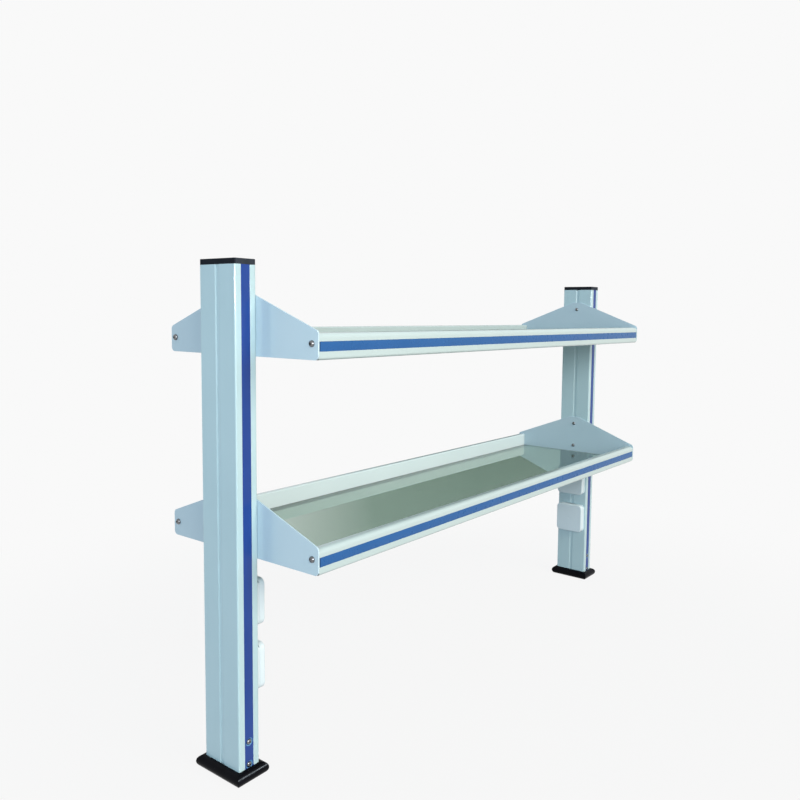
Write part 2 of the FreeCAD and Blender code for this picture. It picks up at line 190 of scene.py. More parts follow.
for side in SIDES:
    low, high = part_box(side + "_foot_shoe")
    centre = (low + high) / 2
    column_low, column_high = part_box(side + "_column")
    half_column = ((column_high.x - column_low.x) / 2, (column_high.y - column_low.y) / 2)
    edge_radius = (high.z - low.z) / 2

    def shoe_ring(reach_x, reach_y, radius, height):
        ring = rounded(rectangle(reach_x, reach_y, radius))
        return [(centre.x + u, centre.y + v, height) for u, v in ring]

    rings = [shoe_ring(*shoe_window, shoe_mitre_radius, low.z)]
    for step in range(shoe_edge_steps + 1):
        turn = math.pi * (step / shoe_edge_steps - 0.5)
        bulge = shoe_lip + edge_radius * math.cos(turn)
        reach = [half + bulge for half in half_column]
        height = low.z + edge_radius * (1 + math.sin(turn))
        rings.append(shoe_ring(*reach, shoe_mitre_radius, height))
    pocket = [half + shoe_fit for half in half_column]
    rings.append(shoe_ring(*pocket, column_corner, high.z))
    rings.append(shoe_ring(*pocket, column_corner, low.z + shoe_floor))
    rings.append(shoe_ring(*shoe_window, shoe_mitre_radius, low.z + shoe_floor))
    shoe = bmesh.new()
    loft(shoe, rings, "joined")
    fit_piece(side + "_shoe_moulding", shoe, shoe_rubber, [side + "_foot_shoe"])


# ---- Foot anchors ----
# A bent, zinc-plated steel foot inside the bottom of each column, bolted to the bench from below.
# The foot screws clamp the column to its uprights. The frame's own solid stays, with a zinc finish.
def plated_steel(name, low, high, gloss):
    """Zinc or chrome plate: clouded tone, drawing marks along Z."""
    finish, tree, shader = new_finish(name, Metallic=1.0)
    vary_colour(tree, shader, noise(tree, 9 * MM, 4.0), low, high)
    vary_roughness(tree, shader, noise(tree, 4 * MM), gloss, gloss + 0.12)
    raise_grain(tree, shader, noise(tree, 0.6 * MM, 2.0, (1, 1, 12)), 0.02 * MM, 0.4)
    return finish


def refinish(node, finish):
    """New material on a frame solid that stays in view."""
    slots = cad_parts[node].data.materials
    slots.clear()
    slots.append(finish)


anchor_zinc = plated_steel("anchor_zinc", (0.50, 0.51, 0.52), (0.66, 0.67, 0.68), 0.32)
for side in SIDES:
    refinish(side + "_foot_anchor", anchor_zinc)


# ---- Columns ----
# An extruded aluminium slab section, powder-coated pale ice blue: round corners, a shallow groove
# down both wide faces, a strip channel down both narrow ones. Windows for the back boxes are milled
# in the inner face.
column_grooves = {"mouth": 5.5 * MM, "floor": 3 * MM, "depth": 1.8 * MM, "edge": 0.5 * MM,
                  "bed": 2 * MM}
channel = {"mouth": 9.5 * MM, "mouth_depth": 1.2 * MM, "pocket": 11 * MM, "depth": 2.5 * MM,
           "edge": 0.35 * MM}
column_wall = 2 * MM
tapped_wall = 5 * MM
window_fit = 0.1 * MM
rim_decimals = 7


def half_turned(corners):
    """A half outline completed by its own half-turned copy."""
    return corners + [(-u, -v, radius) for u, v, radius in corners]


def channel_corners(face):
    """Strip channel in a face at v = face, open to -V, from left to right."""
    left = [
        (-channel["mouth"], face, channel["edge"]),
        (-channel["mouth"], face + channel["mouth_depth"], 0.0),
        (-channel["pocket"], face + channel["mouth_depth"], 0.0),
        (-channel["pocket"], face + channel["depth"], 0.0),
    ]
    return left + [(-u, v, radius) for u, v, radius in reversed(left)]


def column_outline(half_u, half_v):
    """Outside of the column section, with its grooves and channels."""
    groove = column_grooves
    floor = half_u - groove["depth"]
    return half_turned([
        (-half_u, -half_v, column_corner),
        *channel_corners(-half_v),
        (half_u, -half_v, column_corner),
        (half_u, -groove["mouth"], groove["edge"]),
        (floor, -groove["floor"], groove["bed"]),
        (floor, groove["floor"], groove["bed"]),
        (half_u, groove["mouth"], groove["edge"]),
    ])


def bore_outline(half_u, half_v, gap=0.0):
    """Bore of the column, round the backs of the channels and of the tapped walls."""
    far_u = half_u - column_wall - gap
    far_v = half_v - column_wall - gap
    channel_u = channel["pocket"] + column_wall + gap
    channel_v = half_v - channel["depth"] - column_wall - gap
    tapped_u = half_u - column_grooves["depth"] - tapped_wall - gap
    tapped_v = column_grooves["mouth"] + column_wall + gap
    return half_turned([
        (-far_u, -far_v, 0.0), (-channel_u, -far_v, 0.0), (-channel_u, -channel_v, 0.0),
        (channel_u, -channel_v, 0.0), (channel_u, -far_v, 0.0), (far_u, -far_v, 0.0),
        (far_u, -tapped_v, 0.0), (tapped_u, -tapped_v, 0.0),
        (tapped_u, tapped_v, 0.0), (far_u, tapped_v, 0.0),
    ])


def extrude(bm, outlines, place, start, stop):
    """Straight bar: the first outline is its outside, the others are bores through it."""
    def mark(point):
        return tuple(round(value, rim_decimals) for value in point)

    for outline in outlines:
        loft(bm, [[place(u, v, w) for u, v in outline] for w in (start, stop)], "open")
    for w in (start, stop):
        rim = {mark(place(u, v, w)) for outline in outlines for u, v in outline}
        edges = [edge for edge in bm.edges
                 if edge.is_boundary and all(mark(vert.co) in rim for vert in edge.verts)]
        bmesh.ops.triangle_fill(bm, edges=edges, use_beauty=True)


def powder_coat(name, low, high):
    """Satin powder coat: fine orange peel, slight cloudiness, faint hand marks in the sheen."""
    finish, tree, shader = new_finish(
        name, Specular_IOR_Level=0.3, Coat_Weight=0.7, Coat_Roughness=0.07)
    vary_colour(tree, shader, noise(tree, 160 * MM), low, high)
    vary_roughness(tree, shader, noise(tree, 55 * MM, 5.0), 0.28, 0.42)
    raise_grain(tree, shader, noise(tree, 1.4 * MM, 2.0), 0.03 * MM, 0.35)
    return finish


def link_form(bm):
    """Helper object for a carving."""
    mesh = bpy.data.meshes.new("form")
    bm.to_mesh(mesh)
    bm.free()
    form = bpy.data.objects.new("form", mesh)
    bpy.context.scene.collection.objects.link(form)
    return form


def carve(bm, tool, operation="DIFFERENCE"):
    """Closed form with another one cut out of it, or joined to it."""
    for form in (bm, tool):
        bmesh.ops.recalc_face_normals(form, faces=form.faces)
    form = link_form(bm)
    cutter = link_form(tool)
    cut = form.modifiers.new("carve", "BOOLEAN")
    cut.object = cutter
    cut.operation = operation
    cut.solver = "EXACT"
    carved = bmesh.new()
    carved.from_object(form, bpy.context.evaluated_depsgraph_get())
    for helper in (form, cutter):
        bpy.data.meshes.remove(helper.data)
    return carved


def add_block(bm, low, high):
    """Block between two corners, for a carving."""
    middle = (Vector(low) + Vector(high)) / 2
    size = Vector(high) - Vector(low)
    bmesh.ops.create_cube(bm, matrix=Matrix.Translation(middle) @ Matrix.Diagonal((*size, 1)))


column_paint = powder_coat("column_paint", (0.450, 0.630, 0.700), (0.475, 0.655, 0.725))
TIERS = ("lower", "upper")

for side in SIDES:
    low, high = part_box(side + "_column")
    centre = (low + high) / 2
    half_u = (high.x - low.x) / 2
    half_v = (high.y - low.y) / 2
    column = bmesh.new()
    outlines = [rounded(column_outline(half_u, half_v)), rounded(bore_outline(half_u, half_v))]
    extrude(column, outlines, lambda u, v, w: (centre.x + u, centre.y + v, w), low.z, high.z)
    windows = bmesh.new()
    for tier in TIERS:
        box_low, box_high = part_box(side + "_" + tier + "_outlet_box")
        play = Vector((window_fit,) * 3)
        add_block(windows, box_low - play, box_high + play)
    column = carve(column, windows)
    fit_piece(side + "_column_extrusion", column, column_paint, [side + "_column"])


# ---- Column strips ----
# A glossy deep-blue plastic strip, T-shaped in section with a crowned face, is slid into each
# channel. Low down it is pressed in to a round dish under each of the two foot screws.
ENDS = {"front": -1, "rear": 1}

strip_play = 0.1 * MM
strip_crown = 0.5 * MM
foot_screw_heights = (28.5 * MM, 70.5 * MM)
dish_radius = 7.5 * MM
dish_floor_radius = 5.6 * MM
dish_depth = 1.3 * MM
dish_steps = 8
# Paler blue painted on the sides of the dishes as a highlight.
dish_highlight_blue = (0.16, 0.42, 0.66, 1)


def strip_outline(half_face, half_flange, steps=24):
    """T section of a strip: crowned face to -V with its top at V = 0, flange behind."""
    shoulder = channel["mouth_depth"] + strip_play / 2
    back = channel["depth"] - strip_play / 2
    face = []
    for step in range(steps + 1):
        u = half_face * (2 * step / steps - 1)
        face.append((u, strip_crown * (u / half_face) ** 2))
    return face + [
        (half_face, shoulder), (half_flange, shoulder), (half_flange, back),
        (-half_flange, back), (-half_flange, shoulder), (-half_face, shoulder),
    ]


def dish(u, w, screws):
    """Depth of the dishes at a point of the strip's face."""
    deepest = 0.0
    for height in screws:
        away = math.hypot(u, w - height)
        rise = min(max((dish_radius - away) / (dish_radius - dish_floor_radius), 0.0), 1.0)
        deepest = max(deepest, dish_depth * rise * rise * (3 - 2 * rise))
    return deepest


def glossy_plastic(name, low, high, gloss, run):
    """Extruded glossy plastic: faint die lines along its run and a drift of colour."""
    finish, tree, shader = new_finish(name, Specular_IOR_Level=0.35)
    vary_colour(tree, shader, noise(tree, 90 * MM), low, high)
    vary_roughness(tree, shader, noise(tree, 20 * MM), gloss, gloss + 0.1)
    raise_grain(tree, shader, noise(tree, 2.5 * MM, 2.0, run), 0.01 * MM, 0.1)
    return finish


column_strip_blue = glossy_plastic(
    "column_strip_blue", (0.009, 0.043, 0.25), (0.013, 0.055, 0.29), 0.16, (1, 1, 80))

# A paler blue is painted on the sides of each dish: a painted highlight of its curved sides.
tree = column_strip_blue.node_tree
shader = tree.nodes["Principled BSDF"]
dish_highlight_mix = tree.nodes.new("ShaderNodeMix")
dish_highlight_mix.data_type = "RGBA"
dish_highlight_share = tree.nodes.new("ShaderNodeAttribute")
dish_highlight_share.attribute_name = "dish_highlight"
drift = shader.inputs["Base Color"].links[0].from_socket
tree.links.new(dish_highlight_share.outputs["Fac"], dish_highlight_mix.inputs["Factor"])
tree.links.new(drift, dish_highlight_mix.inputs["A"])
dish_highlight_mix.inputs["B"].default_value = dish_highlight_blue
tree.links.new(dish_highlight_mix.outputs["Result"], shader.inputs["Base Color"])

for side in SIDES:
    for end, facing in ENDS.items():
        node = side + "_" + end + "_strip"
        low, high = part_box(node)
        middle_x = (low.x + high.x) / 2
        face_y = low.y if facing < 0 else high.y
        levels = [low.z, high.z]
        for height in foot_screw_heights:
            levels += [height + dish_radius * (step / dish_steps - 1)
                       for step in range(2 * dish_steps + 1)]
        outline = strip_outline(channel["mouth"] - strip_play, channel["pocket"] - strip_play)
        shoulder = channel["mouth_depth"]
        rings = []
        for level in sorted(levels):
            ring = []
            for u, v in outline:
                pressed = dish(u, level, foot_screw_heights) if v < shoulder else 0.0
                ring.append((middle_x - facing * u, face_y - facing * (v + pressed), level))
            rings.append(ring)
        strip = bmesh.new()
        loft(strip, rings)
        piece = fit_piece(node + "_pvc", strip, column_strip_blue, [node])
        # The painted highlight is strongest halfway down the side of a dish.
        dish_highlight = piece.data.attributes.new("dish_highlight", "FLOAT", "POINT")
        for vert, mark in zip(piece.data.vertices, dish_highlight.data):
            share = dish(vert.co.x - middle_x, vert.co.z, foot_screw_heights) / dish_depth
            mark.value = 4 * share * (1 - share)


# ---- Foot screws ----
# Chromed M5 socket screws with domed heads, two through the front strip and two through the rear
# strip of each column, into the foot anchor. Their heads sit in the dishes of the strips.
screw_head_radius = 5 * MM
screw_head_height = 3.2 * MM
screw_head_chamfer = 0.2 * MM
screw_head_rim = 0.9 * MM
screw_dome_degrees = (8, 66)
screw_dome_steps = 9
screw_shank_radius = 2.5 * MM
screw_socket = 1.6 * MM
screw_socket_edge = 0.05 * MM
screw_socket_depth = 1.8 * MM
screw_steps = 48


def add_screw(bm, seat, direction, shank, size=1.0, head=screw_head_height,
              socket=screw_socket):
    """Socket screw on a seat, with its head looking along a direction; size 1 is an M5."""
    axis = Vector(direction).normalized()
    turn = Vector((0, 0, 1)).rotation_difference(axis)

    def screw_ring(radius, height, hexagon=False):
        """Ring about the axis of the screw; the radius of a hexagon is to its flats."""
        ring = []
        for step in range(screw_steps):
            angle = 2 * math.pi * step / screw_steps
            reach = radius
            if hexagon:
                reach = radius / math.cos((angle + math.pi / 6) % (math.pi / 3) - math.pi / 6)
            local = Vector((reach * math.cos(angle), reach * math.sin(angle), height))
            ring.append(Vector(seat) + turn @ local * size)
        return ring

    rings = [
        screw_ring(screw_shank_radius, -shank),
        screw_ring(screw_shank_radius, 0),
        screw_ring(screw_head_radius - screw_head_chamfer, 0),
        screw_ring(screw_head_radius, screw_head_chamfer),
    ]
    foot, crown = screw_dome_degrees
    first, last = math.radians(foot), math.radians(crown)
    for step in range(screw_dome_steps + 1):
        turn_up = math.radians(foot + (crown - foot) * step / screw_dome_steps)
        rise = (math.sin(turn_up) - math.sin(first)) / (math.sin(last) - math.sin(first))
        radius = screw_head_radius * math.cos(turn_up) / math.cos(first)
        rings.append(screw_ring(radius, screw_head_rim + (head - screw_head_rim) * rise))
    rings.append(screw_ring(socket, head - screw_socket_edge, True))
    rings.append(screw_ring(socket, head - screw_socket_depth, True))
    loft(bm, rings)


foot_screw_shank = 6 * MM
bolt_chrome = plated_steel("bolt_chrome", (0.15, 0.155, 0.165), (0.25, 0.255, 0.265), 0.10)

for side in SIDES:
    for end, facing in ENDS.items():
        low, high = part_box(side + "_" + end + "_strip")
        middle_x = (low.x + high.x) / 2
        dish_y = (low.y if facing < 0 else high.y) - facing * dish_depth
        screws = bmesh.new()
        for height in foot_screw_heights:
            add_screw(screws, (middle_x, dish_y, height), (0, facing, 0), foot_screw_shank)
        fit_piece(side + "_" + end + "_foot_screws", screws, bolt_chrome)


# ---- Top caps ----
# A black plastic cap closes the top of each column. Its slab is flush with the column, its top edge
# is eased, and a hollow plug under it grips the bore.
cap_edge = 0.9 * MM
cap_edge_steps = 6
cap_lower_edge = 0.15 * MM
cap_plug_play = 0.1 * MM
cap_plug_wall = 2 * MM

cap_plastic = black_moulding(
    "cap_plastic", (0.012, 0.014, 0.019), (0.018, 0.020, 0.026), 0.28, 0.02)

for side in SIDES:
    low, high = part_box(side + "_top_cap")
    column_low, column_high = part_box(side + "_column")
    centre = (low + high) / 2
    half_u = (high.x - low.x) / 2
    half_v = (high.y - low.y) / 2

    def cap_ring(inset, height):
        corners = rectangle(half_u - inset, half_v - inset, column_corner - inset)
        return [(centre.x + u, centre.y + v, height) for u, v in rounded(corners)]

    rings = [cap_ring(cap_lower_edge, column_high.z),
             cap_ring(0.0, column_high.z + cap_lower_edge)]
    for step in range(cap_edge_steps + 1):
        turn = math.radians(90 * step / cap_edge_steps)
        inset = cap_edge * (1 - math.cos(turn))
        rings.append(cap_ring(inset, high.z - cap_edge * (1 - math.sin(turn))))
    cap = bmesh.new()
    loft(cap, rings)
    plug = [rounded(bore_outline(half_u, half_v, gap))
            for gap in (cap_plug_play, cap_plug_play + cap_plug_wall)]
    extrude(cap, plug, lambda u, v, w: (centre.x + u, centre.y + v, w), low.z, column_high.z)
    fit_piece(side + "_cap_moulding", cap, cap_plastic, [side + "_top_cap"])


# ---- Brackets ----
# Gull-wing plates laser-cut from 3 mm steel and powder-coated, with eased edges. Each is bolted to
# the inner face of its column and carries the ends of both rails of its shelf.
bracket_end_height = 48 * MM
bracket_apex_width = 30 * MM
bracket_end_corner = 8 * MM
bracket_apex_corner = 10 * MM
bracket_edge = 0.4 * MM


def eased_plate(bm, outline, place, back, front, edge, steps=3):
    """Plate between two faces with both edges eased; outline(inset) gives its shape."""
    rings = []
    for step in range(steps + 1):
        turn = math.pi / 2 * step / steps
        rings.append((edge * (1 - math.sin(turn)), back + edge * (1 - math.cos(turn))))
    rings += [(inset, back + front - depth) for inset, depth in reversed(rings)]
    loft(bm, [[place(u, v, depth) for u, v in outline(inset)] for inset, depth in rings])


def bracket_outline(half_depth, height, inset):
    """Gull-wing outline of a bracket, symmetrical about the middle of its column."""
    apex = bracket_apex_width / 2
    slope = (height - bracket_end_height) / (half_depth - apex)
    lean = math.hypot(1, slope)
    shoulder = bracket_end_height - inset * (lean - slope)
    right = [
        (half_depth - inset, inset, bracket_end_corner - inset),
        (half_depth - inset, shoulder, bracket_end_corner - inset),
        (apex + inset * (1 - lean) / slope, height - inset, bracket_apex_corner - inset),
    ]
    return rounded(right + [(-u, v, radius) for u, v, radius in reversed(right)], 8)


bracket_paint = powder_coat("bracket_paint", (0.436, 0.585, 0.680), (0.458, 0.607, 0.702))

for tier in TIERS:
    for side, sign in SIDES.items():
        node = tier + "_" + side + "_bracket"
        low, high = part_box(node)
        plate = bmesh.new()
        eased_plate(plate, lambda inset: bracket_outline(high.y, high.z - low.z, inset),
                    lambda u, v, w: (w, u, low.z + v), low.x, high.x, bracket_edge)
        fit_piece(node + "_plate", plate, bracket_paint, [node])


# ---- Column bolts ----
# Two more of the chromed M5 socket screws stand on the centre line of each bracket. They go through
# the plate into the tapped wall behind the groove of the column.
column_bolt_shank = 12 * MM
column_bolt_rise = 27 * MM
column_bolt_pitch = 70 * MM

for tier in TIERS:
    bolts = bmesh.new()
    for side, sign in SIDES.items():
        low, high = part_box(tier + "_" + side + "_bracket")
        seat_x = high.x if sign < 0 else low.x
        for rise in (column_bolt_rise, column_bolt_rise + column_bolt_pitch):
            add_screw(bolts, (seat_x, 0, low.z + rise), (-sign, 0, 0), column_bolt_shank)
    fit_piece(tier + "_column_bolts", bolts, bolt_chrome, [tier + "_bracket_bolts"])


# ---- Rails ----
# Powder-coated aluminium extrusions that guard the front and rear edge of each shelf: a large round
# on top, a strip channel in the outer face, and a ledge inside for the glass.
rail_thickness = 20 * MM
rail_wall = 1.8 * MM
rail_top_radius = 9 * MM
rail_bottom_radius = 5 * MM
rail_inner_radius = 3 * MM
rail_ledge_thickness = 2.5 * MM
rail_ledge_edge = 0.5 * MM
rail_channel = {"mouth": 8.3 * MM, "pocket": 9.7 * MM, "height": 22.5 * MM}


def rail_outlines(height, depth):
    """Outside and bore of the rail: u is the depth behind the outer face, v the height."""
    middle = rail_channel["height"]
    low_lip = [
        (0.0, middle - rail_channel["mouth"], channel["edge"]),
        (channel["mouth_depth"], middle - rail_channel["mouth"], 0.0),
        (channel["mouth_depth"], middle - rail_channel["pocket"], 0.0),
        (channel["depth"], middle - rail_channel["pocket"], 0.0),
    ]
    high_lip = [(u, 2 * middle - v, radius) for u, v, radius in reversed(low_lip)]
    outside = [
        (0.0, 0.0, rail_bottom_radius),
        (depth, 0.0, rail_ledge_edge),
        (depth, rail_ledge_thickness, rail_ledge_edge),
        (rail_thickness, rail_ledge_thickness, 0.0),
        (rail_thickness, height, rail_inner_radius),
        (0.0, height, rail_top_radius),
    ] + list(reversed(low_lip + high_lip))
    near = channel["depth"] + rail_wall
    cover = rail_channel["pocket"] + rail_wall
    far = rail_thickness - rail_wall
    bore = [
        (rail_wall, rail_wall, rail_bottom_radius - rail_wall),
        (far, rail_wall, 0.0),
        (far, height - rail_wall, rail_inner_radius - rail_wall),
        (rail_wall, height - rail_wall, rail_top_radius - rail_wall),
        (rail_wall, middle + cover, 0.0),
        (near, middle + cover, 0.0),
        (near, middle - cover, 0.0),
        (rail_wall, middle - cover, 0.0),
    ]
    return [rounded(outside, 8), rounded(bore, 4)]


rail_paint = powder_coat("rail_paint", (0.485, 0.600, 0.625), (0.505, 0.620, 0.645))

for tier in TIERS:
    for end, facing in ENDS.items():
        node = tier + "_" + end + "_rail"
        low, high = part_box(node)
        face_y = low.y if facing < 0 else high.y
        rail = bmesh.new()
        extrude(rail, rail_outlines(high.z - low.z, high.y - low.y),
                lambda u, v, w: (w, face_y - facing * u, low.z + v), low.x, high.x)
        fit_piece(node + "_extrusion", rail, rail_paint, [node])


# ---- Rail strips ----
# Extruded mid-blue plastic strips, slid into the channels of the rails. They stop 3 mm short of the
# brackets at each end.
rail_strip_blue = glossy_plastic(
    "rail_strip_blue", (0.012, 0.096, 0.310), (0.016, 0.108, 0.340), 0.24, (80, 1, 1))

for tier in TIERS:
    for end, facing in ENDS.items():
        node = tier + "_" + end + "_rail_strip"
        low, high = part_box(node)
        middle_z = (low.z + high.z) / 2
        face_y = low.y if facing < 0 else high.y
        outline = strip_outline(rail_channel["mouth"] - strip_play,
                                rail_channel["pocket"] - strip_play)
        rings = [[(x, face_y - facing * v, middle_z + u) for u, v in outline]
                 for x in (low.x, high.x)]
        strip = bmesh.new()
        loft(strip, rings)
        fit_piece(node + "_pvc", strip, rail_strip_blue, [node])


# ---- Rail end screws ----
# One larger chromed socket screw through each end of each bracket, from the outside, into the end
# of the rail.
rail_screw_rise = 27 * MM
rail_screw_inset = 14 * MM
rail_screw_shank = 12 * MM
rail_screw_size = 1.15
rail_screw_head = 4.2 * MM
rail_screw_socket = 2 * MM

for tier in TIERS:
    for side, sign in SIDES.items():
        low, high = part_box(tier + "_" + side + "_bracket")
        outer_x = low.x if sign < 0 else high.x
        screws = bmesh.new()
        for y in (low.y + rail_screw_inset, high.y - rail_screw_inset):
            seat = (outer_x, y, low.z + rail_screw_rise)
            add_screw(screws, seat, (sign, 0, 0), rail_screw_shank, rail_screw_size,
                      rail_screw_head, rail_screw_socket)
        fit_piece(tier + "_" + side + "_rail_screws", screws, bolt_chrome)


# ---- Glass seats ----
# Soft grey-green strips pressed on to the ledges of the rails, so that the glass rests without
# touching metal. The frame's own solids are shown, with a rubber finish.
seat_rubber, tree, shader = new_finish("seat_rubber", Specular_IOR_Level=0.3)
vary_colour(tree, shader, noise(tree, 25 * MM), (0.34, 0.44, 0.43), (0.42, 0.52, 0.51))
vary_roughness(tree, shader, noise(tree, 8 * MM), 0.55, 0.75)
raise_grain(tree, shader, noise(tree, 0.8 * MM, 2.0), 0.04 * MM, 0.5)
for tier in TIERS:
    refinish(tier + "_glass_seats", seat_rubber)


# ---- Glass shelves ----
# A loose pane of 6 mm toughened grey-green glass on each shelf, with small round corners and its
# edges ground all round. It lifts straight out between the rails.
glass_corner = 2 * MM
glass_arris = 0.8 * MM

shelf_glass, tree, shader = new_finish(
    "shelf_glass", Base_Color=(0.26, 0.385, 0.315, 1), IOR=1.50, Transmission_Weight=1.0)
vary_roughness(tree, shader, noise(tree, 60 * MM, 4.0), 0.0, 0.05)

for tier in TIERS:
    node = tier + "_glass_pane"
    low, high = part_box(node)
    centre = (low + high) / 2
    half_u = (high.x - low.x) / 2
    half_v = (high.y - low.y) / 2

    def pane_ring(inset, height):
        corners = rectangle(half_u - inset, half_v - inset, glass_corner)
        return [(centre.x + u, centre.y + v, height) for u, v in rounded(corners)]

    pane = bmesh.new()
    loft(pane, [pane_ring(glass_arris, low.z), pane_ring(0.0, low.z + glass_arris),
                pane_ring(0.0, high.z - glass_arris), pane_ring(glass_arris, high.z)])
    fit_piece(tier + "_glass_sheet", pane, shelf_glass, [node], tier + "_glass")


# ---- Outlet back boxes ----
# Grey moulded boxes, pushed into the windows of the columns behind the outlets, for the supply
# cable. The frame's own solids are shown, with a plastic finish.
def moulded_plastic(name, low, high, gloss):
    """Injection-moulded plastic: fine texture and a slightly uneven tone."""
    finish, tree, shader = new_finish(name, Specular_IOR_Level=0.5)
    vary_colour(tree, shader, noise(tree, 70 * MM), low, high)
    vary_roughness(tree, shader, noise(tree, 18 * MM), gloss, gloss + 0.12)
    raise_grain(tree, shader, noise(tree, 1.1 * MM, 2.0), 0.03 * MM, 0.4)
    return finish


box_plastic = moulded_plastic("box_plastic", (0.30, 0.32, 0.34), (0.36, 0.38, 0.40), 0.5)
OUTLETS = [(side, tier) for side in SIDES for tier in TIERS]
for side, tier in OUTLETS:
    refinish(side + "_" + tier + "_outlet_box", box_plastic)


# ---- Socket inserts and frames ----
# White moulded outlet frames on the inner faces of the columns, with hooks for the hinge bar of the
# lid, each round a socket insert with five slots. All their moulded edges are slightly round.
moulded_edge = 0.35 * MM
weld_distance = 0.001 * MM
flat_bend = math.radians(1)
sharp_bend = math.radians(40)


def eased_copy(name, node, finish, edge):
    """The form of a frame solid with its sharp edges rounded, standing in for it."""
    solid = bmesh.new()
    solid.from_mesh(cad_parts[node].data)
    bmesh.ops.remove_doubles(solid, verts=solid.verts, dist=weld_distance)
    bmesh.ops.dissolve_limit(solid, angle_limit=flat_bend, verts=solid.verts, edges=solid.edges)
    sharp = [line for line in solid.edges
             if line.is_manifold and line.calc_face_angle() > sharp_bend]
    bmesh.ops.bevel(solid, geom=sharp, offset=edge, segments=2, affect="EDGES", profile=0.5,
                    clamp_overlap=True)
    fit_piece(name, solid, finish, [node])


frame_plastic = moulded_plastic("frame_plastic", (0.70, 0.82, 0.91), (0.73, 0.85, 0.94), 0.32)
insert_plastic = moulded_plastic("insert_plastic", (0.66, 0.68, 0.68), (0.70, 0.72, 0.72), 0.30)
for side, tier in OUTLETS:
    outlet = side + "_" + tier
    eased_copy(outlet + "_frame_moulding", outlet + "_outlet_frame", frame_plastic,
               moulded_edge)
    eased_copy(outlet + "_socket_moulding", outlet + "_outlet_insert", insert_plastic,
               moulded_edge)


# ---- Outlet fixing screws ----
# Two small chromed screws, one on each side of the insert, hold each outlet frame to its column.
# Their seats on the frame are half a millimetre in front of the face of the insert.
fixing_screw_place = 30.2 * MM
fixing_screw_step = 0.5 * MM
fixing_screw_size = 0.62
fixing_screw_shank = 9 * MM

for side, tier in OUTLETS:
    sign = SIDES[side]
    low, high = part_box(side + "_" + tier + "_outlet_insert")
    seat_x = high.x + fixing_screw_step if sign < 0 else low.x - fixing_screw_step
    screws = bmesh.new()
    for y in (-fixing_screw_place, fixing_screw_place):
        seat = (seat_x, y, (low.z + high.z) / 2)
        add_screw(screws, seat, (-sign, 0, 0), fixing_screw_shank, fixing_screw_size)
    fit_piece(side + "_" + tier + "_fixing_screws", screws, bolt_chrome)


# ---- Outlet lids ----
# Splash-proof lids, moulded in the pale plastic of the frames: a shell with a rounded front edge
# and a shallow round finger mark. It is notched round the hooks of the frame, and the hinge bar
# that clips into them is moulded on along its top.
lid_wall = 2 * MM
lid_corner = 12 * MM
lid_edge = 3 * MM
lid_edge_steps = 8
lid_rim_edge = 0.3 * MM
lid_seam = 0.15 * MM
lid_inner_corner = 1 * MM
lid_bar_radius = 2 * MM
lid_bar_half_length = 35 * MM
lid_bar_steps = 32
lid_hinge_drop = 3.4 * MM
hook_place = 24 * MM
notch_half_width = 4.3 * MM
notch_height = 4 * MM
notch_reach = 4.5 * MM
mark_radius = 3.2 * MM
mark_depth = 0.5 * MM
# Rings of the finger mark from its rim inward, as shares of its radius and of its depth.
mark_rings = ((1.3, 0.0), (1.0, 0.1), (0.6, 0.85), (0.25, 1.0))

for side, tier in OUTLETS:
    sign = SIDES[side]
    node = side + "_" + tier + "_outlet_lid"
    low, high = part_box(node)
    half = (high.z - low.z) / 2
    middle_z = (high.z + low.z) / 2
    hinge_z = high.z - lid_hinge_drop
    front_x = high.x if sign < 0 else low.x
    hinge_x = (low.x if sign < 0 else high.x) - sign * lid_bar_radius
    depth = abs(front_x - hinge_x) - lid_seam

    def lid_outline(inset):
        corner = max(lid_corner - inset, lid_inner_corner)
        return rounded(rectangle(half - inset, half - inset, corner))

    def lid_ring(outline, behind):
        return [(front_x + sign * behind, u, middle_z + v) for u, v in outline]

    rings = [
        lid_ring(lid_outline(lid_wall), lid_wall),
        lid_ring(lid_outline(lid_wall), depth),
        lid_ring(lid_outline(lid_rim_edge), depth),
        lid_ring(lid_outline(0.0), depth - lid_rim_edge),
    ]
    for step in range(lid_edge_steps + 1):
        turn = math.pi / 2 * step / lid_edge_steps
        outline = lid_outline(lid_edge * (1 - math.cos(turn)))
        rings.append(lid_ring(outline, lid_edge * (1 - math.sin(turn))))
    for share, press in mark_rings:
        circle = [point.normalized() * mark_radius * share for point in lid_outline(0.0)]
        rings.append(lid_ring(circle, mark_depth * press))
    lid = bmesh.new()
    loft(lid, rings)
    notches = bmesh.new()
    bar = bmesh.new()
    for place in (-hook_place, hook_place):
        inner = (hinge_x + sign * lid_bar_radius, place - notch_half_width, high.z - notch_height)
        outer = (hinge_x - sign * notch_reach, place + notch_half_width, high.z + notch_height)
        add_block(notches, inner, outer)
    turns = [2 * math.pi * step / lid_bar_steps for step in range(lid_bar_steps)]
    loft(bar, [[(hinge_x + lid_bar_radius * math.cos(turn), y,
                 hinge_z + lid_bar_radius * math.sin(turn)) for turn in turns]
               for y in (-lid_bar_half_length, lid_bar_half_length)])
    lid = carve(carve(lid, notches), bar, "UNION")
    fit_piece(side + "_" + tier + "_lid_moulding", lid, frame_plastic, [node],
              side + "_" + tier + "_lid")


# ---- Room ----
# A pale studio: white paper that keeps the shadow near the rack and fades into a white backdrop, an
# even, slightly cool sky, and a dark card behind the rack that is seen in reflections alone. Large
# soft lamps stand in front and to the left, and small ones pick out single finishes.
paper_size = 60.0
paper_matt = (0.28, 0.28, 0.28, 1)
paper_white = (0.947, 0.947, 0.947, 1)
paper_shadow_share = 0.10
shadow_reach = (0.6, 1.7)
sky_colour = (0.68, 0.87, 1.0, 1)
sky_strength = 0.57


